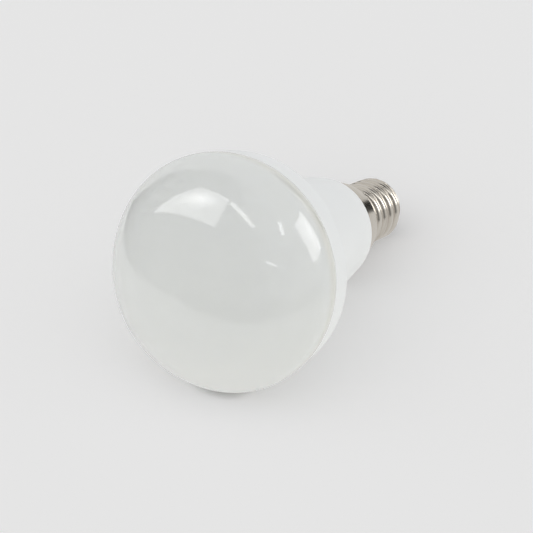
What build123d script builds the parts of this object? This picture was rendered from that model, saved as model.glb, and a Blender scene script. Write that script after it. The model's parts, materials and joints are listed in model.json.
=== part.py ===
"""A reflector bulb with an opal front and a small screw cap, lying as it comes to rest on a table."""
from build123d import *
import os
from math import acos, asin, atan2, cos, degrees, hypot, radians, sin, sqrt, tan

# All sizes are millimetres and all angles degrees. Places along the lamp are measured
# from the seam between diffuser and housing, and grow towards the cap.

# Diffuser, a thin moulded dome whose front is part of a sphere
diffuser_radius = 24.6
diffuser_rise = 21.9
diffuser_wall = 1.6
shoulder_radius = 7.9
edge_tuck = 0.6
lip_depth = 3.0
lip_wall = 1.4
lip_setback = 1.5
lip_clearance = 0.1
lip_end_gap = 0.2

# Housing, one moulding with a front band, a flare and a tapered neck
seam_step = 0.1
seam_chamfer = 0.3
band_length = 5.8
band_taper = 0.45
band_wall = 1.5
rim_fillet = 1.2
flare_length = 7.0
flare_fillet = 10.0
housing_length = 41.6
neck_end_radius = 11.15
neck_half_angle = 11.0
neck_edge_fillet = 1.0

# Cap shell, drawn sheet with a plain skirt and a rolled round thread
skirt_radius = 8.85
skirt_length = 7.1
skirt_fillet = 0.8
skirt_taper_length = 1.6
shell_wall = 0.4
spigot_clearance = 0.1
thread_crest_radius = 6.93
thread_root_radius = 6.145
thread_pitch = 2.822
thread_length = 14.7
thread_burial = 1.0
thread_margin = 0.15
shell_end_round = 1.2
shell_end_hole_radius = 4.6

# Insulator and centre contact at the tip of the cap
insulator_radius = 5.2
insulator_edge = 0.4
insulator_height = 1.3
insulator_top_radius = 3.0
plug_clearance = 0.05
contact_radius = 2.5
contact_dome_radius = 4.0
stem_radius = 1.0
stem_depth = 1.2
stem_clearance = 0.05


def neck_radius(place):
    """Radius of the tapered neck at a place along the lamp."""
    return neck_end_radius + (housing_length - place) * tan(radians(neck_half_angle))


def skirt_line(inset):
    """Points of the cap's skirt and its taper down to the thread, set in by a wall or a clearance."""
    return [
        (housing_length, skirt_radius - inset),
        (skirt_end - inset, skirt_radius - inset),
        (thread_start - inset, thread_root_radius - thread_margin - inset),
    ]


def fillet_centre(before, corner, after, radius):
    """Centre of a fillet of the given radius between two lines that meet at a corner."""
    to_before = (Vector(*before) - Vector(*corner)).normalized()
    to_after = (Vector(*after) - Vector(*corner)).normalized()
    half_angle = radians(to_before.get_angle(to_after)) / 2
    return Vector(*corner) + (to_before + to_after).normalized() * (radius / sin(half_angle))


def corner_at(sketch, point):
    """Corner of a sketch that is nearest to a point given along and across the lamp."""
    return sketch.vertices().sort_by_distance(Vector(*point))[0]


# Dome: a shoulder arc ends at the seam, and the front sphere meets it tangentially
edge_radius = diffuser_radius - edge_tuck
tuck_angle = degrees(acos(1 - edge_tuck / shoulder_radius))
shoulder_centre = (-shoulder_radius * sin(radians(tuck_angle)), diffuser_radius - shoulder_radius)
shoulder_height = diffuser_rise + shoulder_centre[0]
dome_radius = (shoulder_centre[1] ** 2 + shoulder_height**2 - shoulder_radius**2) / (
    2 * (shoulder_height - shoulder_radius)
)
dome_centre = (dome_radius - diffuser_rise, 0)
join_angle = degrees(atan2(shoulder_centre[1], shoulder_centre[0] - dome_centre[0]))

# Band and lip: the diffuser's lip plugs into the band's bore
band_front_radius = edge_radius - seam_step
rim_radius = band_front_radius - band_taper
band_bore_radius = rim_radius - band_wall
lip_radius = band_bore_radius - lip_clearance
floor_place = lip_depth + lip_end_gap

# Flare and cap: places along the lamp, one after another
flare_foot = band_length + flare_length
skirt_end = housing_length + skirt_length
thread_start = skirt_end + skirt_taper_length
cap_end = thread_start + thread_length
shell_end_inside = cap_end - shell_end_round
spigot_end = shell_end_inside - spigot_clearance
insulator_end = cap_end + insulator_height
contact_height = contact_dome_radius - sqrt(contact_dome_radius**2 - contact_radius**2)
tip_place = insulator_end + contact_height

# Thread: a round section off the axis by half the thread's depth, carried along a helix
thread_mean_radius = (thread_crest_radius + thread_root_radius) / 2
thread_offset = (thread_crest_radius - thread_root_radius) / 2
sweep_start = thread_start - thread_burial

# Rest: one flat surface touches the band's rear rim and the last full crest of the thread
band_front = (0, band_front_radius)
band_rim = (band_length, rim_radius)
flare_end = (flare_foot, neck_radius(flare_foot))
neck_edge = (housing_length, neck_end_radius)
rim_centre = fillet_centre(band_front, band_rim, flare_end, rim_fillet)
rest_crest = shell_end_inside
rest_run = rest_crest - rim_centre.X
rest_drop = rim_centre.Y - thread_crest_radius
rest_tilt = degrees(atan2(rest_drop, rest_run) + asin(rim_fillet / hypot(rest_run, rest_drop)))
tilt_sin = sin(radians(rest_tilt))
tilt_cos = cos(radians(rest_tilt))
seam_height = rim_centre.X * tilt_sin + rim_centre.Y * tilt_cos + rim_fillet
front_reach = dome_centre[0] * tilt_cos - dome_radius
rear_reach = (tip_place - contact_dome_radius) * tilt_cos + contact_dome_radius
seam_middle = -(front_reach + rear_reach) / 2

# Lamp frame: its Z runs from the dome to the cap, and its X points at the table
lamp = Plane(
    origin=(0, seam_middle, seam_height),
    x_dir=(0, -tilt_sin, -tilt_cos),
    z_dir=(0, tilt_cos, -tilt_sin),
)
lamp_axis = Axis(lamp.origin, lamp.z_dir)
section = Plane(origin=lamp.origin, x_dir=lamp.z_dir, z_dir=(1, 0, 0))

os.makedirs("parts", exist_ok=True)

# Diffuser: dome shell with a thicker seat and a lip that plugs into the band
with BuildPart() as diffuser:
    with BuildSketch(section):
        with BuildLine():
            outer_front = CenterArc(dome_centre, dome_radius, 180, join_angle - 180)
            outer_shoulder = CenterArc(
                shoulder_centre, shoulder_radius, join_angle, 90 - tuck_angle - join_angle
            )
            inner_front = CenterArc(dome_centre, dome_radius - diffuser_wall, 180, join_angle - 180)
            inner_shoulder = CenterArc(
                shoulder_centre, shoulder_radius - diffuser_wall, join_angle, 90 - join_angle
            )
            Line(outer_front @ 0, inner_front @ 0)
            Polyline(
                outer_shoulder @ 1,
                (0, lip_radius),
                (lip_depth, lip_radius),
                (lip_depth, lip_radius - lip_wall),
                (-lip_setback, lip_radius - lip_wall),
                inner_shoulder @ 1,
            )
        make_face()
    revolve(axis=lamp_axis)
diffuser.part.label = "diffuser"
export_step(diffuser.part, "parts/diffuser.step")

# Housing: band with a bore for the lip, flare, tapered neck, and a spigot that carries the cap
with BuildPart() as housing:
    with BuildSketch(section) as housing_section:
        with BuildLine():
            spigot_line = skirt_line(shell_wall + spigot_clearance)
            Polyline(
                (floor_place, 0),
                (floor_place, band_bore_radius),
                (0, band_bore_radius),
                (0, band_front_radius - seam_chamfer),
                (seam_chamfer, band_front_radius),
                band_rim,
                flare_end,
                neck_edge,
                *spigot_line,
                (spigot_end, spigot_line[-1][1]),
                (spigot_end, 0),
                close=True,
            )
        make_face()
        fillet(corner_at(housing_section, band_rim), rim_fillet)
        fillet(corner_at(housing_section, flare_end), flare_fillet)
        fillet(corner_at(housing_section, neck_edge), neck_edge_fillet)
    revolve(axis=lamp_axis)
housing.part.label = "housing"
export_step(housing.part, "parts/housing.step")

# Helix that the thread's sections follow, turned so that its last full crest faces the table
crest_turn = 360 * (rest_crest - sweep_start) / thread_pitch
start_direction = lamp.x_dir.rotate(Axis((0, 0, 0), lamp.z_dir), -crest_turn)
helix_plane = Plane(lamp.offset(sweep_start).origin, start_direction, lamp.z_dir)
thread_path = helix_plane * Helix(thread_pitch, cap_end - sweep_start, thread_offset)
thread_plane = Plane(origin=thread_path @ 0, x_dir=lamp.x_dir, z_dir=lamp.z_dir)

# Cap shell: the rolled thread, rounded at its end, with the skirt in front and the hollow inside
with BuildPart() as cap_shell:
    with BuildSketch(thread_plane):
        Circle(thread_mean_radius)
    sweep(path=thread_path, normal=lamp.z_dir)
    with BuildSketch(section):
        with BuildLine():
            round_top = thread_crest_radius + thread_margin
            round_start = (cap_end - shell_end_round, round_top)
            round_end = (cap_end, round_top - shell_end_round)
            Line((sweep_start, 0), (sweep_start, skirt_radius))
            Polyline((sweep_start, skirt_radius), (round_start[0], skirt_radius), round_start)
            RadiusArc(round_start, round_end, shell_end_round)
            Polyline(round_end, (cap_end, 0), (sweep_start, 0))
        make_face()
    revolve(axis=lamp_axis, mode=Mode.INTERSECT)
    with BuildSketch(section) as skirt_section:
        with BuildLine():
            skirt_outline = skirt_line(0)
            Polyline((housing_length, 0), *skirt_outline, (thread_start, 0), close=True)
        make_face()
        fillet(corner_at(skirt_section, skirt_outline[1]), skirt_fillet)
    revolve(axis=lamp_axis)
    with BuildSketch(section):
        with BuildLine():
            hollow_line = skirt_line(shell_wall)
            Polyline(
                (housing_length, 0),
                *hollow_line,
                (shell_end_inside, hollow_line[-1][1]),
                (shell_end_inside, shell_end_hole_radius),
                (cap_end, shell_end_hole_radius),
                (cap_end, 0),
                close=True,
            )
        make_face()
    revolve(axis=lamp_axis, mode=Mode.SUBTRACT)
cap_shell.part.label = "cap_shell"
export_step(cap_shell.part, "parts/cap_shell.step")

# Insulator: a cone on the shell's end, with a plug in its hole and a hole for the contact's stem
with BuildPart() as cap_insulator:
    with BuildSketch(section):
        with BuildLine():
            stem_hole_radius = stem_radius + stem_clearance
            plug_radius = shell_end_hole_radius - plug_clearance
            Polyline(
                (spigot_end, 0),
                (spigot_end, plug_radius),
                (cap_end, plug_radius),
                (cap_end, insulator_radius),
                (cap_end + insulator_edge, insulator_radius),
                (insulator_end, insulator_top_radius),
                (insulator_end, stem_hole_radius),
                (insulator_end - stem_depth - stem_clearance, stem_hole_radius),
                (insulator_end - stem_depth - stem_clearance, 0),
                close=True,
            )
        make_face()
    revolve(axis=lamp_axis)
cap_insulator.part.label = "cap_insulator"
export_step(cap_insulator.part, "parts/cap_insulator.step")

# Centre contact: a domed rivet head with its stem in the insulator
with BuildPart() as centre_contact:
    with BuildSketch(section):
        with BuildLine():
            head_edge = (insulator_end, contact_radius)
            tip = (tip_place, 0)
            Polyline(
                tip,
                (insulator_end - stem_depth, 0),
                (insulator_end - stem_depth, stem_radius),
                (insulator_end, stem_radius),
                head_edge,
            )
            RadiusArc(head_edge, tip, contact_dome_radius)
        make_face()
    revolve(axis=lamp_axis)
centre_contact.part.label = "centre_contact"
export_step(centre_contact.part, "parts/centre_contact.step")
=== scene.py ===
"""A reflector bulb with a glossy opal front, a satin white housing and a small nickel screw cap.

The bulb lies on a pale table, as it comes to rest, under soft studio light. Its sizes are those of the
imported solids. Every piece is turned about the lamp's axis, and places along that axis are measured from the
seam between the opal front and the housing, growing towards the cap. Lengths are metres, and angles degrees.
"""
from __future__ import annotations

import json
import logging
import math
from dataclasses import dataclass, field
from enum import Enum
from typing import Any, Callable, Optional, Union

import bmesh
import bpy
from mathutils import Matrix, Quaternion, Vector


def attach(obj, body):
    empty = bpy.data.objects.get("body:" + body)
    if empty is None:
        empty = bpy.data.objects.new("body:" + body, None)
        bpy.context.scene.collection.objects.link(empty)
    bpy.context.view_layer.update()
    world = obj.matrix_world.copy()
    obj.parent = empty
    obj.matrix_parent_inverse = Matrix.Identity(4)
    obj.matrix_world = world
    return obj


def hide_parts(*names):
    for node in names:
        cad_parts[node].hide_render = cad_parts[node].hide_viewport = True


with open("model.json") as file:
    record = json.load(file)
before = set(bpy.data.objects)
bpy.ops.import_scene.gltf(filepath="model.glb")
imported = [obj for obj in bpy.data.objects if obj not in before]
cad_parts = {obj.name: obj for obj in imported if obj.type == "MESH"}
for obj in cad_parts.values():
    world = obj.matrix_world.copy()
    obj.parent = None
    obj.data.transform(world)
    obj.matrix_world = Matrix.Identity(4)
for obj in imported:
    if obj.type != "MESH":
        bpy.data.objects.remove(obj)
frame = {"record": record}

LOG = logging.getLogger("reflector_bulb")
MM = 0.001
BODY = "root"
IMAGE_SIDE = 533
SENSOR_MM = 36.0
WHITE = (1.0, 1.0, 1.0)
BLACK = (0.0, 0.0, 0.0)
# Angles of a half section, measured from the axis: to the dome's tip, straight out, and to the cap's tip.
FORWARDS = 180.0
OUTWARDS = 90.0
BACKWARDS = 0.0
# The middle of the studio's bright side.
BRIGHT_HEADING = 152.0

Triple = tuple[float, float, float]
Point = tuple[float, float]
Span = tuple[float, float]


class Piece(Enum):
    """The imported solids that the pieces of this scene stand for."""

    DIFFUSER = "diffuser"
    HOUSING = "housing"
    CAP_SHELL = "cap_shell"
    CAP_INSULATOR = "cap_insulator"
    CENTRE_CONTACT = "centre_contact"


class Slot(Enum):
    """The record's material slots."""

    OPAL = "opal_plastic"
    WHITE = "white_plastic"
    PLATED = "plated_shell"
    DARK = "dark_insulator"
    CONTACT = "contact_metal"


@dataclass(frozen=True)
class Grain:
    """A noise that varies a finish.

    Attributes:
        scale: Features to the metre.
        detail: Octaves of finer noise.
        bite: Strength of those octaves.
        fade: The levels between which it sets in, where it marks patches.
    """

    scale: float
    detail: float = 2.0
    bite: float = 0.5
    fade: Span = (0.3, 0.7)


class Term:
    """One output of a node. Arithmetic on it adds Math nodes to the same tree."""

    def __init__(self, bench: "Bench", socket: bpy.types.NodeSocket) -> None:
        """Keeps the tree's bench and the socket that the term stands for."""
        self.bench = bench
        self.socket = socket

    def math(self, operation: str, *values: "Number") -> "Term":
        """Adds one Math node with these inputs, in order, and gives its result."""
        return self.bench.add("ShaderNodeMath", {"operation": operation}, dict(enumerate(values)))

    def __add__(self, other: "Number") -> "Term":
        """This plus other."""
        return self.math("ADD", self, other)

    def __radd__(self, other: float) -> "Term":
        """Other plus this."""
        return self.math("ADD", other, self)

    def __sub__(self, other: "Number") -> "Term":
        """This less other."""
        return self.math("SUBTRACT", self, other)

    def __rsub__(self, other: float) -> "Term":
        """Other less this."""
        return self.math("SUBTRACT", other, self)

    def __mul__(self, other: "Number") -> "Term":
        """This times other."""
        return self.math("MULTIPLY", self, other)

    def __rmul__(self, other: float) -> "Term":
        """Other times this."""
        return self.math("MULTIPLY", other, self)

    def __truediv__(self, other: "Number") -> "Term":
        """This over other."""
        return self.math("DIVIDE", self, other)

    def __rtruediv__(self, other: float) -> "Term":
        """Other over this."""
        return self.math("DIVIDE", other, self)

    def ramp(self, low: float, high: float) -> "Term":
        """A smooth step from 0 at low to 1 at high."""
        values = {"Value": self, "From Min": low, "From Max": high, "To Min": 0.0, "To Max": 1.0}
        return self.bench.add("ShaderNodeMapRange", {"interpolation_type": "SMOOTHSTEP"}, values)

    def edge(self, at: float, blur: float) -> "Term":
        """A smooth step over an edge that is blurred to both sides."""
        return self.ramp(at - blur, at + blur)


Number = Union[Term, float]


class Bench:
    """Adds nodes to one node tree."""

    NUMBER_RESULTS = ("DOT_PRODUCT", "LENGTH", "DISTANCE")

    def __init__(self, tree: bpy.types.NodeTree) -> None:
        """Takes the tree, emptied of the nodes that it starts with."""
        self.tree = tree
        tree.nodes.clear()

    def node(self, kind: str, settings: dict[str, Any], values: dict[Any, Any]) -> bpy.types.Node:
        """Adds one node.

        Args:
            kind: The node's type.
            settings: Its own properties, which are set first.
            values: Numbers, colours or terms for its input sockets, by name or number.

        Returns:
            The node.
        """
        made = self.tree.nodes.new(kind)
        for name, value in settings.items():
            setattr(made, name, value)
        for key, value in values.items():
            socket = made.inputs[key]
            if isinstance(value, Term):
                self.tree.links.new(value.socket, socket)
            else:
                socket.default_value = value
        return made

    def add(
        self,
        kind: str,
        settings: Optional[dict[str, Any]] = None,
        values: Optional[dict[Any, Any]] = None,
        output: Union[int, str] = 0,
    ) -> Term:
        """Adds one node, as node does, and gives one of its outputs, by name or number."""
        made = self.node(kind, settings or {}, values or {})
        return Term(self, made.outputs[output])

    def vector(self, operation: str, *values: Any, scale: Optional[Number] = None) -> Term:
        """Adds one Vector Math node.

        Args:
            operation: The node's operation.
            values: Its vectors, in order.
            scale: The number that it scales by, where it does.

        Returns:
            The vector that it gives, or the number where the operation gives one.
        """
        sockets: dict[Any, Any] = dict(enumerate(values))
        if scale is not None:
            sockets["Scale"] = scale
        output = "Value" if operation in self.NUMBER_RESULTS else "Vector"
        return self.add("ShaderNodeVectorMath", {"operation": operation}, sockets, output)

    def reach(self, place: Term, azimuth: float, elevation: float = 0.0) -> Term:
        """How far a place or a direction reaches towards a heading."""
        return self.vector("DOT_PRODUCT", place, heading(azimuth, elevation))

    def lean(self, azimuth: float, elevation: float) -> Term:
        """A normal that points to a heading, whatever way the surface faces."""
        return self.add("ShaderNodeCombineXYZ", {}, dict(enumerate(heading(azimuth, elevation))))

    def blend(self, share: Number, first: Any, second: Any) -> Term:
        """Mixes two colours: the first where the share is 0, and the second where it is 1."""
        values = {0: share, 6: opaque(first), 7: opaque(second)}
        return self.add("ShaderNodeMix", {"data_type": "RGBA", "clamp_factor": True}, values, 2)

    def noise(self, place: Term, grain: Grain) -> Term:
        """Noise from 0 to 1 over a place."""
        values = {"Vector": place, "Scale": grain.scale, "Detail": grain.detail, "Roughness": grain.bite}
        return self.add("ShaderNodeTexNoise", {"noise_dimensions": "3D"}, values)

    def patches(self, place: Term, grain: Grain) -> Term:
        """Patches of noise over a place: 1 in their middles, and 0 between them."""
        return self.noise(place, grain).ramp(*grain.fade)

    def bump(self, height: Term, strength: float, depth: float) -> Term:
        """A normal bent by a height from 0 to 1, where 1 stands for the depth."""
        values = {"Height": height, "Strength": strength, "Distance": depth}
        return self.add("ShaderNodeBump", {}, values, "Normal")

    def place(self) -> Term:
        """The object's own coordinates."""
        return self.add("ShaderNodeTexCoord", {}, {}, "Object")

    def kept(self, name: str) -> Term:
        """A number kept on the mesh, such as the place along the axis."""
        return self.add("ShaderNodeAttribute", {"attribute_name": name}, {}, "Fac")

    def ray(self, kind: str) -> Term:
        """1 for light's paths of one kind, and 0 for the others."""
        return self.add("ShaderNodeLightPath", {}, {}, kind)


def heading(azimuth: float, elevation: float) -> Triple:
    """A direction from the bulb.

    Args:
        azimuth: Degrees round it, from the front to the right.
        elevation: Degrees above the table.

    Returns:
        The unit vector.
    """
    across = math.radians(azimuth)
    above = math.radians(elevation)
    return (math.sin(across) * math.cos(above), -math.cos(across) * math.cos(above), math.sin(above))


def opaque(colour: Any) -> Any:
    """A colour with its alpha, or a term as it is."""
    return colour if isinstance(colour, Term) else (*colour, 1.0)


def new_material(name: str, paint: Callable[[Bench], Term]) -> bpy.types.Material:
    """Makes a material.

    Args:
        name: Its name.
        paint: Adds its nodes and gives the shader's output.

    Returns:
        The material.
    """
    made = bpy.data.materials.new(name)
    made.use_nodes = True
    bench = Bench(made.node_tree)
    surface = paint(bench)
    bench.node("ShaderNodeOutputMaterial", {}, {"Surface": surface})
    return made


def new_object(name: str, data: Any) -> bpy.types.Object:
    """Makes an object and links it to the scene.

    Args:
        name: Its name.
        data: Its mesh, lamp or camera.

    Returns:
        The object.
    """
    made = bpy.data.objects.new(name, data)
    bpy.context.scene.collection.objects.link(made)
    return made


@dataclass(frozen=True)
class LampFrame:
    """Where the bulb's axis lies.

    Attributes:
        origin: The point of the axis at the seam.
        axis: The direction from the dome to the cap.
        down: The direction across the axis that points at the table.
    """

    origin: Vector
    axis: Vector
    down: Vector

    @classmethod
    def from_record(cls, record: dict[str, Any], mount_place: float) -> "LampFrame":
        """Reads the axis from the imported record's screw cap mount.

        Args:
            record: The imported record.
            mount_place: Where that mount lies along the axis.

        Returns:
            The frame.
        """
        mount = record["mounts"][0]
        axis = Vector(mount["axis"]).normalized()
        origin = Vector(mount["pos_m"]) - axis * mount_place
        straight_down = Vector((0.0, 0.0, -1.0))
        down = (straight_down - axis * straight_down.dot(axis)).normalized()
        return cls(origin, axis, down)


@dataclass(frozen=True)
class RolledThread:
    """A round thread rolled into a shell: along the axis it is a row of arcs, crest and root in turn.

    Attributes:
        mean_radius: Radius halfway between crest and root.
        offset: How far crest and root stand off that.
        pitch: Advance for one turn.
        crest_place: The place where a crest faces the table.
        blend: How softly the thread runs into the skirt and the rounded end.
    """

    mean_radius: float = 1.0
    offset: float = 1.0
    pitch: float = 1.0
    crest_place: float = 0.0
    blend: float = 0.0


class Outline:
    """A half section of a turned piece: places along the axis and radii, in order."""

    ARC_FEWEST = 2
    ROUNDING_FEWEST = 3
    ROUNDING_STEP = 7.5

    def __init__(self) -> None:
        """Starts with no points."""
        self.points: list[Point] = []
        self.threaded: list[float] = []
        self.limits: list[float] = []

    def put(self, place: float, radius: float, threaded: float = 0.0, limit: float = 0.0) -> None:
        """Adds one point.

        Args:
            place: Where it lies along the axis.
            radius: Its distance from the axis.
            threaded: 1 where the thread is rolled in.
            limit: The largest radius that the thread may have there.
        """
        self.points.append((place, max(radius, 0.0)))
        self.threaded.append(threaded)
        self.limits.append(limit)

    def arc(self, centre: Point, radius: float, start: float, end: float, step: float) -> None:
        """Adds an arc.

        Args:
            centre: Its centre.
            radius: Its radius.
            start: The angle where it starts, from the axis.
            end: The angle where it ends.
            step: The angle between points.
        """
        count = max(self.ARC_FEWEST, math.ceil(abs(end - start) / step))
        for index in range(count + 1):
            angle = math.radians(start + (end - start) * index / count)
            self.put(centre[0] + radius * math.cos(angle), centre[1] + radius * math.sin(angle))

    def corners(self, corners: list[Triple], step: float) -> None:
        """Adds straight stretches between corners, each corner rounded by its own radius.

        Args:
            corners: Place, radius and rounding of each corner.
            step: The longest stretch between points.
        """
        last = len(corners) - 1
        for index, (place, radius, rounding) in enumerate(corners):
            here = Vector((place, radius))
            if index in (0, last) or rounding <= 0.0:
                self.straight(here, step)
                continue
            before = (Vector(corners[index - 1][:2]) - here).normalized()
            after = (Vector(corners[index + 1][:2]) - here).normalized()
            half = before.angle(after) / 2
            reach = rounding / math.tan(half)
            centre = here + (before + after).normalized() * (rounding / math.sin(half))
            entry = here + before * reach
            leave = here + after * reach
            self.straight(entry, step)
            start = math.atan2(entry.y - centre.y, entry.x - centre.x)
            turn = math.atan2(leave.y - centre.y, leave.x - centre.x) - start
            turn = (turn + math.pi) % (2 * math.pi) - math.pi
            count = max(self.ROUNDING_FEWEST, math.ceil(math.degrees(abs(turn)) / self.ROUNDING_STEP))
            for part in range(1, count + 1):
                angle = start + turn * part / count
                self.put(centre.x + rounding * math.cos(angle), centre.y + rounding * math.sin(angle))

    def straight(self, end: Vector, step: float) -> None:
        """Adds a straight stretch from the last point, in equal steps.

        Args:
            end: The point where it ends.
            step: The longest stretch between points.
        """
        if not self.points:
            self.put(end.x, end.y)
            return
        start = Vector(self.points[-1])
        count = max(1, math.ceil((end - start).length / step))
        for part in range(1, count + 1):
            spot = start.lerp(end, part / count)
            self.put(spot.x, spot.y)


class Lathe:
    """Turns outlines about the lamp's axis with one Geometry Nodes tree, and makes plain meshes of them."""

    MERGE = 0.001 * MM

    def __init__(self, lamp: LampFrame) -> None:
        """Builds the tree.

        Args:
            lamp: Where the axis lies.
        """
        self.lamp = lamp
        self.tree = bpy.data.node_groups.new("turned_piece", "GeometryNodeTree")
        self.sockets: dict[str, str] = {}
        self._inputs()
        self._nodes()

    def _inputs(self) -> None:
        """Names the tree's inputs and its output."""
        kinds = {
            "Outline": "NodeSocketGeometry",
            "Segments": "NodeSocketInt",
            "Mean Radius": "NodeSocketFloat",
            "Offset": "NodeSocketFloat",
            "Pitch": "NodeSocketFloat",
            "Crest Place": "NodeSocketFloat",
            "Blend": "NodeSocketFloat",
            "Origin": "NodeSocketVector",
            "Axis": "NodeSocketVector",
            "Down": "NodeSocketVector",
            "Material": "NodeSocketMaterial",
        }
        for name, kind in kinds.items():
            item = self.tree.interface.new_socket(name, in_out="INPUT", socket_type=kind)
            self.sockets[name] = item.identifier
        self.tree.interface.new_socket("Piece", in_out="OUTPUT", socket_type="NodeSocketGeometry")

    def _nodes(self) -> None:
        """Fills the tree: a grid is wound round the axis, row by row of the outline."""
        bench = Bench(self.tree)
        group = bench.node("NodeGroupInput", {}, {})
        given = {name: Term(bench, group.outputs[name]) for name in self.sockets}
        outline = given["Outline"]
        rows = bench.add(
            "GeometryNodeAttributeDomainSize", {"component": "MESH"}, {"Geometry": outline}, "Point Count"
        )
        columns = given["Segments"] + 1.0
        grid = bench.add("GeometryNodeMeshGrid", {}, {"Vertices X": rows, "Vertices Y": columns}, "Mesh")
        index = bench.add("GeometryNodeInputIndex")
        row = index.math("FLOOR", (index + 0.5) / columns)
        column = index - row * columns
        angle = column * (2 * math.pi) / given["Segments"]
        position = bench.add("GeometryNodeInputPosition")
        spot = self._sample(bench, outline, position, row, "FLOAT_VECTOR")
        parts = bench.node("ShaderNodeSeparateXYZ", {}, {0: spot})
        place = Term(bench, parts.outputs["X"])
        plain = Term(bench, parts.outputs["Y"])
        threaded = self._sample(bench, outline, self._named(bench, "threaded"), row, "FLOAT")
        limit = self._sample(bench, outline, self._named(bench, "limit"), row, "FLOAT")
        away = self._away(given, place, angle)
        rolled = self._rolled(given, away)
        blended = rolled.math("SMOOTH_MAX", plain, rolled, given["Blend"])
        held = blended.math("SMOOTH_MIN", blended, limit, given["Blend"])
        radius = plain + threaded * (held - plain)
        side = bench.vector("CROSS_PRODUCT", given["Axis"], given["Down"])
        outwards = bench.vector(
            "ADD",
            bench.vector("SCALE", given["Down"], scale=angle.math("COSINE", angle)),
            bench.vector("SCALE", side, scale=angle.math("SINE", angle)),
        )
        on_axis = bench.vector("ADD", given["Origin"], bench.vector("SCALE", given["Axis"], scale=place))
        wound = bench.vector("ADD", on_axis, bench.vector("SCALE", outwards, scale=radius))
        kept = {"along": place, "crest": threaded * (1.0 - 2.0 * away / given["Pitch"])}
        shape = grid
        for name, value in kept.items():
            shape = bench.add("GeometryNodeStoreNamedAttribute", {"data_type": "FLOAT", "domain": "POINT"}, {
                "Geometry": shape, "Name": name, "Value": value,
            })
        shape = bench.add("GeometryNodeSetPosition", {}, {"Geometry": shape, "Position": wound})
        shape = bench.add("GeometryNodeMergeByDistance", {}, {"Geometry": shape, "Distance": self.MERGE})
        shape = bench.add("GeometryNodeSetShadeSmooth", {}, {0: shape})
        shape = bench.add("GeometryNodeRealizeInstances", {}, {"Geometry": shape})
        shape = bench.add("GeometryNodeSetMaterial", {}, {"Geometry": shape, "Material": given["Material"]})
        bench.node("NodeGroupOutput", {}, {0: shape})

    @staticmethod
    def _named(bench: Bench, name: str) -> Term:
        """A number kept on the outline's points."""
        settings = {"data_type": "FLOAT"}
        return bench.add("GeometryNodeInputNamedAttribute", settings, {"Name": name}, "Attribute")

    @staticmethod
    def _sample(bench: Bench, outline: Term, value: Term, row: Term, kind: str) -> Term:
        """Reads a value of the outline's point for each row of the grid."""
        values = {"Geometry": outline, "Value": value, "Index": row}
        return bench.add("GeometryNodeSampleIndex", {"data_type": kind, "domain": "POINT"}, values)

    @staticmethod
    def _away(given: dict[str, Term], place: Term, angle: Term) -> Term:
        """Measures along the axis to the nearest crest of the right-handed thread.

        Args:
            given: The tree's inputs.
            place: The place along the axis.
            angle: The angle round it.

        Returns:
            The distance, at most half a pitch.
        """
        turns = (place - given["Crest Place"]) / given["Pitch"] - angle / (2 * math.pi)
        part = turns.math("FRACT", turns)
        return given["Pitch"] * (0.5 - part.math("ABSOLUTE", part - 0.5))

    @staticmethod
    def _rolled(given: dict[str, Term], away: Term) -> Term:
        """Draws the thread: arcs at crest and root, which meet halfway down steep flanks.

        Args:
            given: The tree's inputs.
            away: The distance to the nearest crest.

        Returns:
            The thread's radius.
        """
        quarter = given["Pitch"] * 0.25
        depth = given["Offset"]
        bend = (quarter * quarter + depth * depth) / (2.0 * depth)
        past = quarter - away
        from_top = quarter - past.math("ABSOLUTE", past)
        inside = bend * bend - from_top * from_top
        fall = bend - inside.math("SQRT", inside)
        return given["Mean Radius"] + past.math("SIGN", past) * (depth - fall)

    def turn(
        self,
        piece: Piece,
        outline: Outline,
        segments: int,
        finish: "Finish",
        thread: RolledThread = RolledThread(),
    ) -> None:
        """Turns one outline into a finished piece, at the origin and with its place in its mesh.

        Args:
            piece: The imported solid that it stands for.
            outline: Its half section.
            segments: Faces round the axis.
            finish: Its finish.
            thread: The thread that is rolled in where the outline is threaded.
        """
        material = finish.material()
        mesh = bpy.data.meshes.new(piece.value + "_outline")
        mesh.from_pydata([(place, radius, 0.0) for place, radius in outline.points], [], [])
        for name, numbers in (("threaded", outline.threaded), ("limit", outline.limits)):
            layer = mesh.attributes.new(name, "FLOAT", "POINT")
            layer.data.foreach_set("value", numbers)
        made = new_object(piece.value + "_visual", mesh)
        values: dict[str, Any] = {
            "Segments": segments,
            "Mean Radius": thread.mean_radius,
            "Offset": thread.offset,
            "Pitch": thread.pitch,
            "Crest Place": thread.crest_place,
            "Blend": thread.blend,
            "Origin": tuple(self.lamp.origin),
            "Axis": tuple(self.lamp.axis),
            "Down": tuple(self.lamp.down),
            "Material": material,
        }
        modifier = made.modifiers.new("turned", "NODES")
        modifier.node_group = self.tree
        for name, value in values.items():
            modifier[self.sockets[name]] = value
        graph = bpy.context.evaluated_depsgraph_get()
        plain = bpy.data.meshes.new_from_object(made.evaluated_get(graph), depsgraph=graph)
        made.modifiers.remove(modifier)
        made.data = plain
        plain.name = piece.value + "_visual"
        bpy.data.meshes.remove(mesh)
        self._close(plain)
        settle(made, piece)

    def _close(self, mesh: bpy.types.Mesh) -> None:
        """Merges doubles and turns every face outwards.

        Args:
            mesh: The piece's mesh.
        """
        shape = bmesh.new()
        shape.from_mesh(mesh)
        bmesh.ops.remove_doubles(shape, verts=shape.verts, dist=self.MERGE)
        bmesh.ops.dissolve_degenerate(shape, edges=shape.edges, dist=self.MERGE)
        bmesh.ops.recalc_face_normals(shape, faces=shape.faces)
        shape.to_mesh(mesh)
        shape.free()
        mesh.update()


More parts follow.
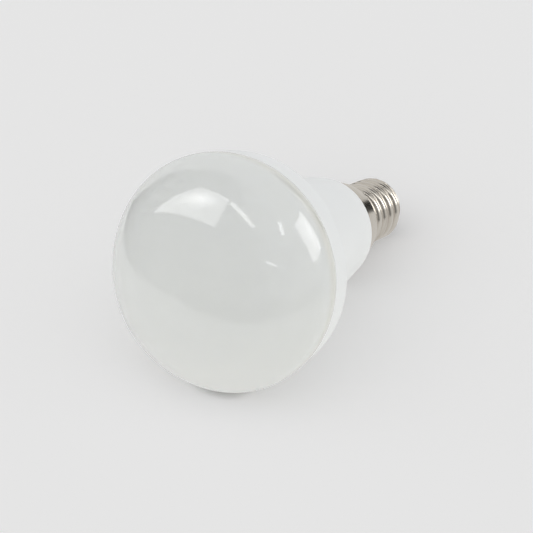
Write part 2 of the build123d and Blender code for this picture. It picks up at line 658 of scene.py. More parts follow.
def settle(made: bpy.types.Object, piece: Piece) -> None:
    """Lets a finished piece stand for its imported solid, and reports it.

    Args:
        made: The piece.
        piece: The solid that it stands for.
    """
    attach(made, BODY)
    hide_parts(piece.value)
    made.data.calc_loop_triangles()
    LOG.info("%s: %d triangles", made.name, len(made.data.loop_triangles))


@dataclass(frozen=True)
class Finish:
    """A finish, painted by a subclass on a new material.

    Attributes:
        name: The material's name.
        slot: The record's slot that it answers to. It is not used.
    """

    name: str
    slot: Slot

    def material(self) -> bpy.types.Material:
        """Makes the material."""
        return new_material(self.name, self.paint)

    def paint(self, bench: Bench) -> Term:
        """Adds the material's nodes and gives the shader's output."""
        raise NotImplementedError


@dataclass(frozen=True)
class OpalPlastic(Finish):
    """Glossy milk-white plastic that light sinks into."""

    name: str = "glossy_opal"
    slot: Slot = Slot.OPAL
    colour: Triple = (0.655, 0.67, 0.66)
    cloud: Triple = (0.67, 0.685, 0.67)
    clouds: Grain = Grain(45.0, 3.0)
    # The seat's colour: the thicker plastic's olive tint, darkened further by painted shade where the dome's
    # edge turns away from the light.
    seat_tint_and_shade_colour: Triple = (0.635, 0.635, 0.59)
    edge_fade: Span = (-4.6 * MM, -2.2 * MM)
    seat_tint_and_shade_share: float = 0.8
    waves: Grain = Grain(130.0, 1.0)
    wave_strength: float = 0.15
    wave_depth: float = 0.01 * MM
    haze: Grain = Grain(420.0)
    roughness: float = 0.04
    roughness_swing: float = 0.02
    ior: float = 1.585
    gloss_level: float = 0.6
    subsurface: float = 1.0
    scatter: float = 3.0 * MM
    scatter_shares: Triple = (1.0, 1.0, 0.95)

    def paint(self, bench: Bench) -> Term:
        """Paints clouds in the plastic, an olive, darker edge at the thick seat, which is partly the thicker
        plastic's own tint and partly painted shade, and a faint wave of the moulding.

        Args:
            bench: The material's bench.

        Returns:
            The shader's output.
        """
        place = bench.place()
        milk = bench.blend(bench.patches(place, self.clouds), self.colour, self.cloud)
        # Painted shade at the seat, mixed with the thicker plastic's olive tint.
        seat = bench.kept("along").ramp(*self.edge_fade)
        return bench.add("ShaderNodeBsdfPrincipled", {}, {
            "Base Color": bench.blend(seat * self.seat_tint_and_shade_share, milk, self.seat_tint_and_shade_colour),
            "Roughness": self.roughness + self.roughness_swing * bench.noise(place, self.haze),
            "IOR": self.ior,
            "Specular IOR Level": self.gloss_level,
            "Subsurface Weight": self.subsurface,
            "Subsurface Radius": self.scatter_shares,
            "Subsurface Scale": self.scatter,
            "Normal": bench.bump(bench.noise(place, self.waves), self.wave_strength, self.wave_depth),
        })


@dataclass(frozen=True)
class NickelPlate(Finish):
    """Bright nickel on drawn sheet, with fine rolling lines, dull streaks and stains, and rougher thread
    roots darkened by painted shade.
    """

    name: str = "nickel_plate"
    slot: Slot = Slot.PLATED
    colour: Triple = (0.765, 0.72, 0.65)
    # The roots' darker colour is painted shade, which stands in for the shade in the thread's hollows.
    root_shade_colour: Triple = (0.42, 0.365, 0.295)
    root_fade: Span = (0.1, 0.65)
    root_shade_share: float = 0.6
    skirt_fade: Span = (51.0 * MM, 50.0 * MM)
    stretch: float = 0.03
    lines: Grain = Grain(5200.0, 2.0, 0.6)
    line_strength: float = 0.12
    line_depth: float = 0.004 * MM
    streaks: Grain = Grain(1100.0, fade=(0.35, 0.75))
    streak_share: float = 0.3
    stains: Grain = Grain(260.0, 3.0, fade=(0.45, 0.75))
    stain_share: float = 0.15
    roughness: float = 0.12
    root_roughness: float = 0.10
    line_roughness: float = 0.08

    def paint(self, bench: Bench) -> Term:
        """Paints lines and streaks that run round the shell, stains, painted shade in the thread's roots, and
        the roots' greater roughness.

        Args:
            bench: The material's bench.

        Returns:
            The shader's output.
        """
        place = bench.place()
        along = bench.kept("along")
        drawn = bench.add("ShaderNodeCombineXYZ", {}, {"X": along})
        rolled = bench.vector("ADD", drawn, bench.vector("SCALE", place, scale=self.stretch))
        lines = bench.noise(rolled, self.lines)
        skirt = along.ramp(*self.skirt_fade)
        # Where the roots lie: their colour gets painted shade, and their roughness rises.
        root = (1.0 - bench.kept("crest").ramp(*self.root_fade)) * (1.0 - skirt)
        # Real streaks and stains, plus the painted shade of the roots.
        wear_and_root_shade = root * self.root_shade_share + bench.patches(rolled, self.streaks) * self.streak_share
        wear_and_root_shade = wear_and_root_shade + bench.patches(place, self.stains) * self.stain_share
        return bench.add("ShaderNodeBsdfPrincipled", {}, {
            "Base Color": bench.blend(wear_and_root_shade, self.colour, self.root_shade_colour),
            "Metallic": 1.0,
            "Roughness": self.roughness + root * self.root_roughness + lines * self.line_roughness,
            "Normal": bench.bump(lines, self.line_strength, self.line_depth),
        })


@dataclass(frozen=True)
class Mottled(Finish):
    """A finish of one colour with patches of another, and with a fine relief.

    Attributes:
        colour: Its colour.
        patch_colour: The colour of the patches.
        patches: The noise that marks them.
        relief: The noise that shapes the relief.
        relief_strength: How strongly that bends the light.
        relief_depth: How deep it is.
        relief_roughens: Whether the roughness follows the relief, or the patches.
        roughness: The lowest roughness.
        roughness_swing: How much it varies.
        metallic: 1 on metal.
        ior: How strongly it bends and mirrors light, where it is no metal.
    """

    colour: Triple
    patch_colour: Triple
    patches: Grain
    relief: Grain
    relief_strength: float
    relief_depth: float
    roughness: float
    roughness_swing: float
    relief_roughens: bool = False
    metallic: float = 0.0
    ior: float = 1.5

    def paint(self, bench: Bench) -> Term:
        """Paints the patches and the relief.

        Args:
            bench: The material's bench.

        Returns:
            The shader's output.
        """
        place = bench.place()
        patches = bench.noise(place, self.patches)
        relief = bench.noise(place, self.relief)
        swing = self.roughness_swing * (relief if self.relief_roughens else patches)
        return bench.add("ShaderNodeBsdfPrincipled", {}, {
            "Base Color": bench.blend(patches.ramp(*self.patches.fade), self.colour, self.patch_colour),
            "Metallic": self.metallic,
            "Roughness": self.roughness + swing,
            "IOR": self.ior,
            "Normal": bench.bump(relief, self.relief_strength, self.relief_depth),
        })


# White moulded plastic with a fine spark-eroded grain.
SATIN_PLASTIC = Mottled(
    "satin_white", Slot.WHITE, colour=(0.727, 0.742, 0.745), patch_colour=(0.742, 0.757, 0.758),
    patches=Grain(60.0), relief=Grain(3200.0, 2.0, 0.6), relief_strength=0.25, relief_depth=0.012 * MM,
    roughness=0.36, roughness_swing=0.12, relief_roughens=True,
)
# The glassy black of the insulator, with small flecks and a pressed unevenness.
GLOSS_BLACK = Mottled(
    "gloss_black", Slot.DARK, colour=(0.014, 0.014, 0.016), patch_colour=(0.035, 0.034, 0.036),
    patches=Grain(2600.0, 3.0, 0.65, (0.55, 0.75)), relief=Grain(520.0), relief_strength=0.3,
    relief_depth=0.03 * MM, roughness=0.14, roughness_swing=0.15, ior=1.52,
)
# The plated rivet that meets the holder's spring, with dull patches and fine dents.
CONTACT_METAL = Mottled(
    "contact_metal", Slot.CONTACT, colour=(0.66, 0.61, 0.53), patch_colour=(0.50, 0.46, 0.40),
    patches=Grain(900.0, 3.0, fade=(0.4, 0.7)), relief=Grain(2400.0), relief_strength=0.15,
    relief_depth=0.02 * MM, roughness=0.22, roughness_swing=0.18, metallic=1.0,
)


@dataclass
class OpalFront:
    """The opal front: a moulded dome, its thicker seat, and the lip that plugs into the housing."""

    radius: float = 24.6 * MM
    rise: float = 21.9 * MM
    wall: float = 1.6 * MM
    shoulder: float = 7.9 * MM
    tuck: float = 0.6 * MM
    lip_radius: float = 21.85 * MM
    lip_depth: float = 3.0 * MM
    lip_wall: float = 1.4 * MM
    lip_setback: float = 1.5 * MM
    edge_rounding: float = 0.25 * MM
    seat_rounding: float = 0.1 * MM
    lip_rounding: float = 0.15 * MM
    setback_rounding: float = 0.2 * MM
    dome_step: float = 1.0
    shoulder_step: float = 3.0
    inner_coarser: float = 2.0
    straight_step: float = 1.0 * MM
    segments: int = 256
    finish: Finish = OpalPlastic()

    def outline(self) -> Outline:
        """Draws the half section, from the dome's outer tip round to its inner one.

        Returns:
            The outline.
        """
        tuck_angle = math.acos(1 - self.tuck / self.shoulder)
        shoulder_at = (-self.shoulder * math.sin(tuck_angle), self.radius - self.shoulder)
        height = self.rise + shoulder_at[0]
        dome = (shoulder_at[1] ** 2 + height**2 - self.shoulder**2) / (2 * (height - self.shoulder))
        dome_at = (dome - self.rise, 0.0)
        join = math.degrees(math.atan2(shoulder_at[1], shoulder_at[0] - dome_at[0]))
        shoulder_end = OUTWARDS - math.degrees(tuck_angle)
        back_step = math.degrees(self.edge_rounding / self.shoulder)
        made = Outline()
        made.arc(dome_at, dome, FORWARDS, join, self.dome_step)
        made.arc(shoulder_at, self.shoulder, join, shoulder_end + back_step, self.shoulder_step)
        inner = self.lip_radius - self.lip_wall
        inner_shoulder = self.shoulder - self.wall
        made.corners([
            (*made.points[-1], 0.0),
            (0.0, self.radius - self.tuck, self.edge_rounding),
            (0.0, self.lip_radius, self.seat_rounding),
            (self.lip_depth, self.lip_radius, self.lip_rounding),
            (self.lip_depth, inner, self.lip_rounding),
            (-self.lip_setback, inner, self.setback_rounding),
            (shoulder_at[0], shoulder_at[1] + inner_shoulder, 0.0),
        ], self.straight_step)
        made.arc(shoulder_at, inner_shoulder, OUTWARDS, join, self.shoulder_step * self.inner_coarser)
        made.arc(dome_at, dome - self.wall, join, FORWARDS, self.dome_step * self.inner_coarser)
        return made

    def build(self, lathe: Lathe) -> None:
        """Turns and dresses the front."""
        lathe.turn(Piece.DIFFUSER, self.outline(), self.segments, self.finish)


@dataclass
class MouldedHousing:
    """The housing: a band, a flare, a tapered neck, and the spigot that carries the cap."""

    bore_radius: float = 21.95 * MM
    bore_rounding: float = 0.1 * MM
    floor_place: float = 3.2 * MM
    floor_rounding: float = 0.2 * MM
    front_radius: float = 23.9 * MM
    front_rounding: float = 0.12 * MM
    seam_chamfer: float = 0.3 * MM
    chamfer_rounding: float = 0.25 * MM
    band_length: float = 5.8 * MM
    rim_radius: float = 23.45 * MM
    rim_rounding: float = 1.2 * MM
    flare_length: float = 7.0 * MM
    flare_rounding: float = 10.0 * MM
    length: float = 41.6 * MM
    neck_radius: float = 11.15 * MM
    neck_slope: float = math.tan(math.radians(11.0))
    neck_rounding: float = 1.0 * MM
    spigot_inset: float = 0.5 * MM
    spigot_end: float = 63.7 * MM
    spigot_rounding: float = 0.2 * MM
    straight_step: float = 0.8 * MM
    segments: int = 256
    finish: Finish = SATIN_PLASTIC

    def outline(self, cap: "ScrewCap") -> Outline:
        """Draws the half section, from the floor under the front to the spigot's end.

        Args:
            cap: The cap that the spigot fits.

        Returns:
            The outline.
        """
        flare_foot = self.band_length + self.flare_length
        flare_radius = self.neck_radius + (self.length - flare_foot) * self.neck_slope
        spigot = [(*corner, self.spigot_rounding) for corner in cap.skirt_line(self.spigot_inset)]
        made = Outline()
        made.corners([
            (self.floor_place, 0.0, 0.0),
            (self.floor_place, self.bore_radius, self.floor_rounding),
            (0.0, self.bore_radius, self.bore_rounding),
            (0.0, self.front_radius - self.seam_chamfer, self.front_rounding),
            (self.seam_chamfer, self.front_radius, self.chamfer_rounding),
            (self.band_length, self.rim_radius, self.rim_rounding),
            (flare_foot, flare_radius, self.flare_rounding),
            (self.length, self.neck_radius, self.neck_rounding),
            *spigot,
            (self.spigot_end, spigot[-1][1], self.spigot_rounding),
            (self.spigot_end, 0.0, 0.0),
        ], self.straight_step)
        return made

    def build(self, lathe: Lathe, cap: "ScrewCap") -> None:
        """Turns and dresses the housing, whose spigot fits the cap."""
        lathe.turn(Piece.HOUSING, self.outline(cap), self.segments, self.finish)


@dataclass
class ScrewCap:
    """The cap: a drawn shell with a rolled thread, the insulator at its tip, and the centre contact."""

    start: float = 41.6 * MM
    mouth_rounding: float = 0.08 * MM
    skirt_radius: float = 8.85 * MM
    skirt_length: float = 7.1 * MM
    skirt_rounding: float = 0.8 * MM
    skirt_step: float = 0.15 * MM
    taper_length: float = 1.6 * MM
    taper_parts: int = 3
    wall: float = 0.4 * MM
    crest_radius: float = 6.93 * MM
    root_radius: float = 6.145 * MM
    root_rounding: float = 0.3 * MM
    pitch: float = 2.822 * MM
    thread_length: float = 14.7 * MM
    thread_margin: float = 0.15 * MM
    thread_blend: float = 0.12 * MM
    thread_step: float = 0.09 * MM
    end_round: float = 1.2 * MM
    hole_radius: float = 4.6 * MM
    hole_rounding: float = 0.1 * MM
    bore_rounding: float = 0.2 * MM
    bore_mouth_rounding: float = 0.3 * MM
    bore_step: float = 0.8 * MM
    insulator_radius: float = 5.2 * MM
    insulator_edge: float = 0.4 * MM
    insulator_height: float = 1.3 * MM
    insulator_top: float = 3.0 * MM
    insulator_foot_rounding: float = 0.1 * MM
    insulator_edge_rounding: float = 0.25 * MM
    insulator_top_rounding: float = 0.3 * MM
    plug_clearance: float = 0.05 * MM
    plug_clear_end: float = 0.1 * MM
    plug_rounding: float = 0.1 * MM
    seat_rounding: float = 0.02 * MM
    contact_radius: float = 2.5 * MM
    contact_dome: float = 4.0 * MM
    contact_rounding: float = 0.08 * MM
    contact_step: float = 2.0
    stem_radius: float = 1.0 * MM
    stem_depth: float = 1.2 * MM
    stem_rounding: float = 0.05 * MM
    stem_clearance: float = 0.05 * MM
    stem_hole_rounding: float = 0.03 * MM
    tip_step: float = 0.2 * MM
    shell_segments: int = 224
    tip_segments: int = 96
    shell_finish: Finish = NickelPlate()
    insulator_finish: Finish = GLOSS_BLACK
    contact_finish: Finish = CONTACT_METAL

    @property
    def skirt_end(self) -> float:
        """Where the plain skirt ends."""
        return self.start + self.skirt_length

    @property
    def thread_start(self) -> float:
        """Where the taper has come down to the thread's root."""
        return self.skirt_end + self.taper_length

    @property
    def end(self) -> float:
        """Where the shell ends."""
        return self.thread_start + self.thread_length

    @property
    def round_start(self) -> float:
        """Where the rounding of the shell's end starts."""
        return self.end - self.end_round

    @property
    def tip(self) -> float:
        """Where the insulator ends and the contact's head sits."""
        return self.end + self.insulator_height

    @property
    def thread_middle(self) -> float:
        """The middle of the thread, where the record's mount lies."""
        return self.thread_start + self.thread_length / 2

    def skirt_line(self, inset: float) -> list[Point]:
        """Corners of the skirt and its taper, set in by a wall or a clearance.

        Args:
            inset: How far they are set in.

        Returns:
            Place and radius of each corner.
        """
        return [
            (self.start, self.skirt_radius - inset),
            (self.skirt_end - inset, self.skirt_radius - inset),
            (self.thread_start - inset, self.root_radius - self.thread_margin - inset),
        ]

    def thread(self) -> RolledThread:
        """The thread, with its last full crest facing the table."""
        middle = (self.crest_radius + self.root_radius) / 2
        offset = (self.crest_radius - self.root_radius) / 2
        return RolledThread(middle, offset, self.pitch, self.round_start, self.thread_blend)

    def end_limit(self, place: float) -> float:
        """The largest radius of the thread at a place, which falls off at the rounded end.

        Args:
            place: The place along the axis.

        Returns:
            The radius.
        """
        past = place - self.round_start
        if past <= 0.0:
            return self.skirt_radius
        fall = self.end_round - math.sqrt(max(self.end_round**2 - past**2, 0.0))
        return self.crest_radius + self.thread_margin - fall

    def shell_outline(self) -> Outline:
        """Draws the shell's half section: skirt, taper, thread, rounded end and bore.

        Returns:
            The outline.
        """
        made = Outline()
        front, skirt_foot, root = self.skirt_line(0.0)
        inside_front, inside_foot, inside_root = self.skirt_line(self.wall)
        made.corners([
            (self.start, inside_front[1], 0.0),
            (*front, self.mouth_rounding),
            (*skirt_foot, self.skirt_rounding),
            (*root, self.root_rounding),
            (root[0] + self.pitch / 4, root[1], 0.0),
        ], self.skirt_step)
        # The thread runs out over all of the taper but its first part.
        run_out = self.skirt_end + self.taper_length / self.taper_parts
        for index, (place, _) in enumerate(made.points):
            if place > run_out:
                made.threaded[index] = 1.0
                made.limits[index] = self.end_limit(place)
        start = made.points[-1][0]
        count = math.ceil((self.end - start) / self.thread_step)
        for part in range(1, count + 1):
            place = start + (self.end - start) * part / count
            made.put(place, root[1], 1.0, self.end_limit(place))
        made.corners([
            (self.end, self.crest_radius + self.thread_margin - self.end_round, 0.0),
            (self.end, self.hole_radius, self.hole_rounding),
            (self.round_start, self.hole_radius, self.hole_rounding),
            (self.round_start, inside_root[1], self.hole_rounding),
            (*inside_root, self.bore_rounding),
            (*inside_foot, self.bore_mouth_rounding),
            (*inside_front, 0.0),
        ], self.bore_step)
        return made

    def insulator_outline(self) -> Outline:
        """Draws the insulator's half section: its plug, its cone and the hole for the stem.

        Returns:
            The outline.
        """
        plug_end = self.round_start - self.plug_clear_end
        plug_radius = self.hole_radius - self.plug_clearance
        hole = self.stem_radius + self.stem_clearance
        hole_end = self.tip - self.stem_depth - self.stem_clearance
        made = Outline()
        made.corners([
            (plug_end, 0.0, 0.0),
            (plug_end, plug_radius, self.plug_rounding),
            (self.end, plug_radius, self.seat_rounding),
            (self.end, self.insulator_radius, self.insulator_foot_rounding),
            (self.end + self.insulator_edge, self.insulator_radius, self.insulator_edge_rounding),
            (self.tip, self.insulator_top, self.insulator_top_rounding),
            (self.tip, hole, self.stem_hole_rounding),
            (hole_end, hole, self.stem_hole_rounding),
            (hole_end, 0.0, 0.0),
        ], self.tip_step)
        return made

    def contact_outline(self) -> Outline:
        """Draws the contact's half section: its stem and its domed head.

        Returns:
            The outline.
        """
        height = self.contact_dome - math.sqrt(self.contact_dome**2 - self.contact_radius**2)
        centre = (self.tip + height - self.contact_dome, 0.0)
        edge_angle = math.degrees(math.asin(self.contact_radius / self.contact_dome))
        eased = math.degrees(self.contact_rounding / self.contact_dome)
        made = Outline()
        made.corners([
            (self.tip - self.stem_depth, 0.0, 0.0),
            (self.tip - self.stem_depth, self.stem_radius, self.stem_rounding),
            (self.tip, self.stem_radius, self.seat_rounding),
            (self.tip, self.contact_radius - self.contact_rounding, 0.0),
        ], self.tip_step)
        made.arc(centre, self.contact_dome, edge_angle - eased, BACKWARDS, self.contact_step)
        return made

    def build(self, lathe: Lathe) -> None:
        """Turns and dresses the cap's three pieces."""
        lathe.turn(
            Piece.CAP_SHELL, self.shell_outline(), self.shell_segments, self.shell_finish, self.thread()
        )
        lathe.turn(Piece.CAP_INSULATOR, self.insulator_outline(), self.tip_segments, self.insulator_finish)
        lathe.turn(Piece.CENTRE_CONTACT, self.contact_outline(), self.tip_segments, self.contact_finish)


def lay_flat(name: str, corners: list[Any], material: bpy.types.Material) -> bpy.types.Object:
    """Lays a flat sheet that belongs to the stage.

    Args:
        name: Its name.
        corners: Its four corners, in order.
        material: Its finish.

    Returns:
        The sheet.
    """
    mesh = bpy.data.meshes.new(name)
    mesh.from_pydata([tuple(corner) for corner in corners], [], [(0, 1, 2, 3)])
    mesh.materials.append(material)
    made = new_object(name, mesh)
    return made


@dataclass
class PaleTable:
    """The pale table under the bulb.

    Its shading leans, so that the bulb's shadow lies as in the photograph, and it darkens right where the
    front touches it. Gloss mirrors it only near the bulb, and the dim studio past that.

    Attributes:
        side: Its length and breadth.
        colour: Its colour.
        cloud: A paler shade in that.
        clouds: Where that shows.
        roughness: Its roughness.
        shade: How strongly the lamps and the walls light it, which deepens shadows.
        glow: How much it shines by itself, which fills them.
        lean: Azimuth and elevation that its shading faces.
        contact_lean: Azimuth and elevation that its contact shade faces.
        contact_reach: How near a piece stands where it shades the contact.
        contact_samples: Rays that look for such a piece.
        contact_fade: How open the table is where that shade is full, and where it ends.
        contact_front: How far ahead of the bulb's middle that shade starts, and where it is full.
        mirror: How bright gloss shows it.
        front_azimuth: Where the front edge of what gloss shows of it lies.
        front_edge: How far out that lies.
        right_azimuth: Where it shows past the front edge as well.
        right_fade: Between which distances it does so.
        right_share: How much.
        left_azimuth: Where the left edge lies.
        left_edge: How far out that lies.
        far_fade: Between which distances it ends on other sides.
        aside_edge: How far to the studio's dim side those two hold.
        edge_blur: How soft these edges are.
    """

    side: float = 4.0
    colour: Triple = (0.775, 0.775, 0.775)
    cloud: Triple = (0.785, 0.785, 0.785)
    clouds: Grain = Grain(2.0)
    roughness: float = 0.8
    shade: float = 0.95
    glow: float = 0.38
    lean: Span = (15.0, 30.0)
    contact_lean: Span = (-80.0, 30.0)
    contact_reach: float = 2.5 * MM
    contact_samples: int = 16
    contact_fade: Span = (0.42, 0.86)
    contact_front: Span = (0.0, 0.01)
    mirror: float = 0.86
    front_azimuth: float = 38.0
    front_edge: float = 0.112
    right_azimuth: float = 95.0
    right_fade: Span = (0.10, 0.22)
    right_share: float = 0.5
    left_azimuth: float = 270.0
    left_edge: float = 0.142
    far_fade: Span = (0.19, 0.25)
    aside_edge: float = 0.02
    edge_blur: float = 0.015

    def lay(self) -> None:
        """Lays the table."""
        half = self.side / 2
        corners = [(-half, -half, 0.0), (half, -half, 0.0), (half, half, 0.0), (-half, half, 0.0)]
        lay_flat("table", corners, new_material("pale_table", self.paint))

    def paint(self, bench: Bench) -> Term:
        """Paints the table for the eye and for gloss.

        Args:
            bench: The material's bench.

        Returns:
            The shader's output.
        """
        place = bench.place()
        pale = bench.blend(bench.noise(place, self.clouds), self.colour, self.cloud)
        ahead = bench.reach(place, self.front_azimuth)
        mirrored = bench.ray("Is Glossy Ray")
        clear = bench.add("ShaderNodeAmbientOcclusion", {"samples": self.contact_samples}, {
            "Distance": self.contact_reach,
            "Normal": bench.lean(*self.contact_lean),
        }, "AO")
        shut = (1.0 - clear.ramp(*self.contact_fade)) * ahead.ramp(*self.contact_front)
        glow = self.glow * (1.0 - shut)
        level = glow + mirrored * (self.near(bench, place, ahead) * self.mirror - glow)
        return bench.add("ShaderNodeBsdfPrincipled", {}, {
            "Base Color": bench.blend((1.0 - mirrored) * self.shade, BLACK, pale),
            "Roughness": self.roughness,
            "Specular IOR Level": 0.0,
            "Emission Color": bench.vector("SCALE", pale, scale=level),
            "Emission Strength": 1.0,
            "Normal": bench.lean(*self.lean),
        })

    def near(self, bench: Bench, place: Term, ahead: Term) -> Term:
        """Marks where gloss mirrors the table.

        Args:
            bench: The material's bench.
            place: The place on the table.
            ahead: How far ahead of the bulb that lies.

        Returns:
            1 near the bulb, and 0 where gloss shows the dim studio.
        """
        right = bench.reach(place, self.right_azimuth).ramp(*self.right_fade)
        front = ahead.edge(self.front_edge, self.edge_blur) * (1.0 - self.right_share * right)
        left = bench.reach(place, self.left_azimuth).edge(self.left_edge, self.edge_blur)
        far = 1.0 - (1.0 - left) * (1.0 - bench.vector("LENGTH", place).ramp(*self.far_fade))
        aside = bench.reach(place, BRIGHT_HEADING + 180.0).edge(self.aside_edge, self.edge_blur)
        return (1.0 - front) * (1.0 - far * aside)


@dataclass
class StudioWalls:
    """The studio's walls. They light the bulb softly, and gloss mirrors them as a bright side and a dim one.

    Attributes:
        even_light: Light from all round.
        back_light: Light from low down behind the bulb.
        back_azimuth: Where that is strongest.
        high_lights: Azimuth and strength of the soft lights from above.
        high_elevation: How high those stand.
        bright: How bright gloss shows the bright side.
        dark: How bright gloss shows the dim side.
        seen: How bright the walls are past the table's edge, where they carry on its tone.
        edge: How soft the edge between the sides is where it is sharpest.
        blur: How much softer it gets along the walls.
        blur_fade: Between which reaches along the walls it does so.
        shift: How far the edge lies into the bright side.
        lean: How much farther it lies high up.
        lean_fade: Between which heights it does so.
        gap_fade: Where the duller gap in the bright side starts, and where it is full.
        gap_top: Between which heights that gap ends.
        gap_share: How much duller it is.
    """

    even_light: float = 0.21
    back_light: float = 1.86
    back_azimuth: float = 200.0
    high_lights: tuple[Point, ...] = ((15.0, 1.14), (-75.0, 0.72), (105.0, 0.57))
    high_elevation: float = 45.0
    bright: float = 0.71
    dark: float = 0.03
    seen: float = 0.78
    edge: float = 0.03
    blur: float = 0.6
    blur_fade: Span = (-0.4, 0.7)
    shift: float = 0.015
    lean: float = 0.14
    lean_fade: Span = (0.45, 0.95)
    gap_fade: Span = (0.85, 0.90)
    gap_top: Span = (0.18, 0.21)
    gap_share: float = 0.3

    def light(self) -> None:
        """Makes the walls the scene's world."""
        world = bpy.data.worlds.new("studio")
        bpy.context.scene.world = world
        world.use_nodes = True
        bench = Bench(world.node_tree)
        towards = bench.add("ShaderNodeTexCoord", {}, {}, "Generated")
        parts = bench.node("ShaderNodeSeparateXYZ", {}, {0: towards})
        up = Term(bench, parts.outputs["Z"])
        soft = self.soft(bench, towards, up)
        glossy = bench.ray("Is Glossy Ray") * (self.mirrored(bench, towards, up) - soft)
        level = soft + glossy + bench.ray("Is Camera Ray") * (self.seen - soft)
        surface = bench.add("ShaderNodeBackground", {}, {"Color": opaque(WHITE), "Strength": level})
        bench.node("ShaderNodeOutputWorld", {}, {"Surface": surface})

    def soft(self, bench: Bench, towards: Term, up: Term) -> Term:
        """Spreads the soft light that falls on the bulb and the table.

        Args:
            bench: The world's bench.
            towards: The direction to the wall.
            up: How high that points.

        Returns:
            The light's strength.
        """
        low = 1.0 - up
        behind = bench.reach(towards, self.back_azimuth) * 0.5 + 0.5
        strength = self.even_light + self.back_light * low * low * behind * behind
        for azimuth, share in self.high_lights:
            lobe = bench.reach(towards, azimuth, self.high_elevation)
            lobe = lobe.math("MAXIMUM", lobe, 0.0)
            strength = strength + share * lobe * lobe * lobe
        return strength

    def mirrored(self, bench: Bench, towards: Term, up: Term) -> Term:
        """Draws the two sides that gloss mirrors.

        Args:
            bench: The world's bench.
            towards: The direction to the wall.
            up: How high that points.

        Returns:
            The brightness that gloss shows.
        """
        across = bench.reach(towards, BRIGHT_HEADING)
        along = bench.reach(towards, BRIGHT_HEADING - 90.0).ramp(*self.blur_fade)
        softness = self.edge + self.blur * along
        edge_at = self.shift + self.lean * up.ramp(*self.lean_fade) * (1.0 - along)
        lit = ((across - edge_at) / softness).ramp(-1.0, 1.0)
        gap = across.ramp(*self.gap_fade) * (1.0 - up.ramp(*self.gap_top))
        return self.dark + (self.bright - self.dark) * lit * (1.0 - self.gap_share * gap)


@dataclass(frozen=True)
class Panel:
    """One soft lamp.

    Attributes:
        name: The lamp's name.
        centre: Where it hangs.
        run: The direction and the length of one of its sides.
        breadth: The length of the other side.
        radiance: Its brightness, where 1 is white.
        facing: Where it faces, or nothing where it faces the bulb.
        share: How much of that lights the table and the bulb. The rest only shows in their gloss.
        middle: How much brighter than its edges its middle shows.
        hot: Where that middle lies, as shares of its sides.
        shows: Whether it shows in their gloss.
        tint: Its colour.
    """

    # A lamp that lights hangs a little nearer than its twin that shows in gloss.
    LIGHT_NEARER = 0.997
    # How far the brighter middle reaches, as a share of the sides.
    HOT_REACH = 0.4

    name: str
    centre: Triple
    run: Triple
    breadth: float
    radiance: float
    facing: Optional[Triple] = None
    share: float = 0.0
    middle: float = 1.0
    hot: Point = (0.5, 0.5)
    shows: bool = True
    tint: Triple = WHITE

    def build(self) -> None:
        """Hangs the lamp that shows in gloss, and its twin that lights."""
        if self.shows:
            self.hang(self.name, self.radiance, False)
        if self.share > 0.0:
            self.hang(self.name + "_light", self.radiance * self.share, True)

    def turn(self) -> Quaternion:
        """Works out how the lamp is turned.

        Returns:
            The turn: its first axis along the run, and its back to what it faces.
        """
        across = Vector(self.run).normalized()
        back = Vector(self.centre) if self.facing is None else -Vector(self.facing)
        back = (back - across * back.dot(across)).normalized()
        return Matrix((across, back.cross(across), back)).transposed().to_quaternion()

    def hang(self, name: str, radiance: float, lights: bool) -> None:
        """Hangs one lamp.

        Args:
            name: Its name.
            radiance: Its brightness.
            lights: Whether it lights the table and the bulb, or shows in their gloss.
        """
        length = Vector(self.run).length
        data = bpy.data.lights.new(name, "AREA")
        data.shape = "RECTANGLE"
        data.size = length
        data.size_y = self.breadth
        data.energy = radiance * length * self.breadth * math.pi
        data.color = self.tint
        if self.middle != 1.0 and not lights:
            self.brighten(data)
        lamp = new_object(name, data)
        lamp.location = Vector(self.centre) * (self.LIGHT_NEARER if lights else 1.0)
        lamp.rotation_mode = "QUATERNION"
        lamp.rotation_quaternion = self.turn()
        lamp.visible_camera = False
        lamp.visible_diffuse = lights
        lamp.visible_glossy = not lights

    def brighten(self, data: bpy.types.AreaLight) -> None:
        """Makes the lamp's middle brighter than its edges.

        Args:
            data: The lamp.
        """
        data.use_nodes = True
        bench = Bench(data.node_tree)
        spot = bench.add("ShaderNodeNewGeometry", {}, {}, "Parametric")
        apart = bench.vector("DISTANCE", spot, (*self.hot, 0.0))
        level = self.middle + (1.0 - self.middle) * apart.ramp(0.0, self.HOT_REACH)
        glow = bench.add("ShaderNodeEmission", {}, {"Strength": level})
        bench.node("ShaderNodeOutputLight", {}, {"Surface": glow})


@dataclass(frozen=True)
class Card:
    """One small card that only gloss shows.

    Attributes:
        name: The card's name.
        centre: Where it stands. It faces the cap.
        width: Its level side.
        height: Its other side.
        radiance: Its brightness.
    """

    name: str
    centre: Triple
    width: float
    height: float
    radiance: float

    def paint(self, bench: Bench) -> Term:
        """Lights the card evenly."""
        return bench.add("ShaderNodeEmission", {}, {"Strength": self.radiance})

    def stand(self, cap_place: Triple) -> None:
        """Stands the card by the cap, whose bright metal mirrors it.

        Args:
            cap_place: The cap's middle.
        """
        centre = Vector(self.centre)
        back = (centre - Vector(cap_place)).normalized()
        across = back.cross(Vector((0.0, 0.0, 1.0))).normalized()
        above = across.cross(back) * (self.height / 2)
        across = across * (self.width / 2)
        offsets = (-across - above, across - above, across + above, above - across)
        corners = [centre + offset for offset in offsets]
        made = lay_flat(self.name, corners, new_material(self.name, self.paint))
        made.visible_camera = False
        made.visible_diffuse = False
        made.visible_shadow = False


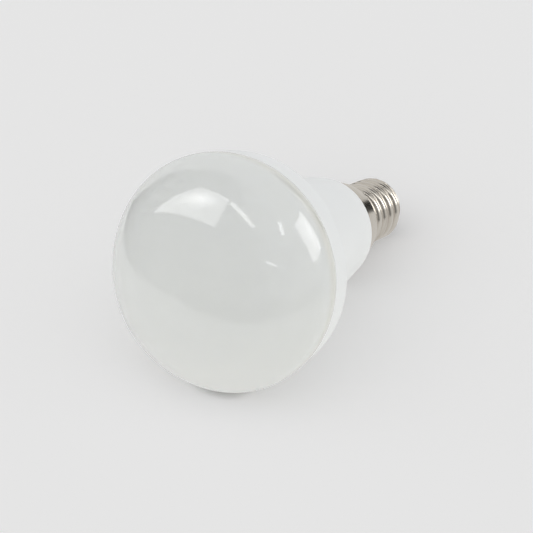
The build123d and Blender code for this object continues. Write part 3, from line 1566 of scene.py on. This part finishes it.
@dataclass
class PhotoCamera:
    """The camera, as the photograph was taken.

    Attributes:
        focal_pixels: Its focal length in pixels of the photograph.
        azimuth: Where it stands round the bulb.
        elevation: Where it stands above the table.
        distance: How far from its aim it stands.
        aim: The point in the middle of the photograph.
        clip: The nearest and the farthest that it sees.
    """

    focal_pixels: float = 2450.0
    azimuth: float = 30.2337
    elevation: float = 32.2828
    distance: float = 509.38 * MM
    aim: Triple = (-0.511 * MM, -6.165 * MM, 16.376 * MM)
    clip: Span = (0.01, 20.0)

    def point(self) -> None:
        """Points the camera at the bulb, and lets the scene use it."""
        data = bpy.data.cameras.new("camera")
        data.sensor_width = SENSOR_MM
        data.lens = self.focal_pixels * SENSOR_MM / IMAGE_SIDE
        data.clip_start = self.clip[0]
        data.clip_end = self.clip[1]
        back = Vector(heading(self.azimuth, self.elevation))
        camera = new_object("camera", data)
        camera.location = Vector(self.aim) + back * self.distance
        camera.rotation_mode = "QUATERNION"
        camera.rotation_quaternion = (-back).to_track_quat("-Z", "Y")
        bpy.context.scene.camera = camera


@dataclass
class Studio:
    """The table, the cards by the cap, the walls, the lamps and the camera."""

    table: PaleTable = field(default_factory=PaleTable)
    cap_place: Triple = (0.0, 0.04, 0.014)
    cards: tuple[Card, ...] = (
        Card("black_card", (0.034, 0.103, 0.0265), 0.021, 0.028, 0.01),
        Card("pale_card", (-0.014, 0.037, 0.043), 0.046, 0.034, 0.6),
        Card("dim_card", (0.015, 0.076, 0.070), 0.030, 0.044, 0.02),
        Card("white_card", (0.030, 0.033, 0.059), 0.032, 0.014, 1.3),
    )
    walls: StudioWalls = field(default_factory=StudioWalls)
    panels: tuple[Panel, ...] = (
        Panel(
            "left_softbox", (-0.5975, -0.0836, 1.0217), (-0.155, 0.227, 1.147), 0.95, 1.95,
            facing=(0.28, 0.95, -0.15), middle=2.5, hot=(0.42, 0.45),
        ),
        Panel(
            "right_softbox", (0.889, 0.4955, 0.634), (0.0, 0.16, 0.79), 0.574, 2.55,
            facing=(-0.89, -0.45, 0.09), share=0.4, middle=1.7,
        ),
        Panel("long_tube", (0.148, -0.198, 1.0), (0.504, -0.198, 0.0), 0.065, 2.9),
        Panel("short_tube", (0.80, 0.02, 1.0), (0.28, -0.11, 0.0), 0.07, 3.4),
        Panel("far_tube", (1.55, -0.83, 1.0), (0.54, 0.04, 0.0), 0.06, 2.8),
        Panel("far_lamp", (2.26, -0.71, 1.0), (0.20, 0.04, 0.0), 0.08, 2.5),
        Panel(
            "under_fill", (0.0, 0.0, 0.0005), (0.5, 0.0, 0.0), 0.5, 0.378,
            facing=(0.0, 0.0, 1.0), share=1.0, shows=False, tint=(1.0, 0.97, 0.87),
        ),
    )
    camera: PhotoCamera = field(default_factory=PhotoCamera)

    def build(self) -> None:
        """Sets the stage."""
        self.table.lay()
        for card in self.cards:
            card.stand(self.cap_place)
        self.walls.light()
        for panel in self.panels:
            panel.build()
        self.camera.point()
        bpy.context.scene.view_settings.view_transform = "Standard"


def main() -> None:
    """Builds the bulb piece by piece, then the studio round it."""
    logging.basicConfig(level=logging.INFO, format="%(name)s %(message)s")
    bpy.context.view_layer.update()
    cap = ScrewCap()
    lamp = LampFrame.from_record(frame["record"], cap.thread_middle)
    lathe = Lathe(lamp)
    OpalFront().build(lathe)
    MouldedHousing().build(lathe, cap)
    cap.build(lathe)
    Studio().build()


if __name__ == "__main__":
    main()
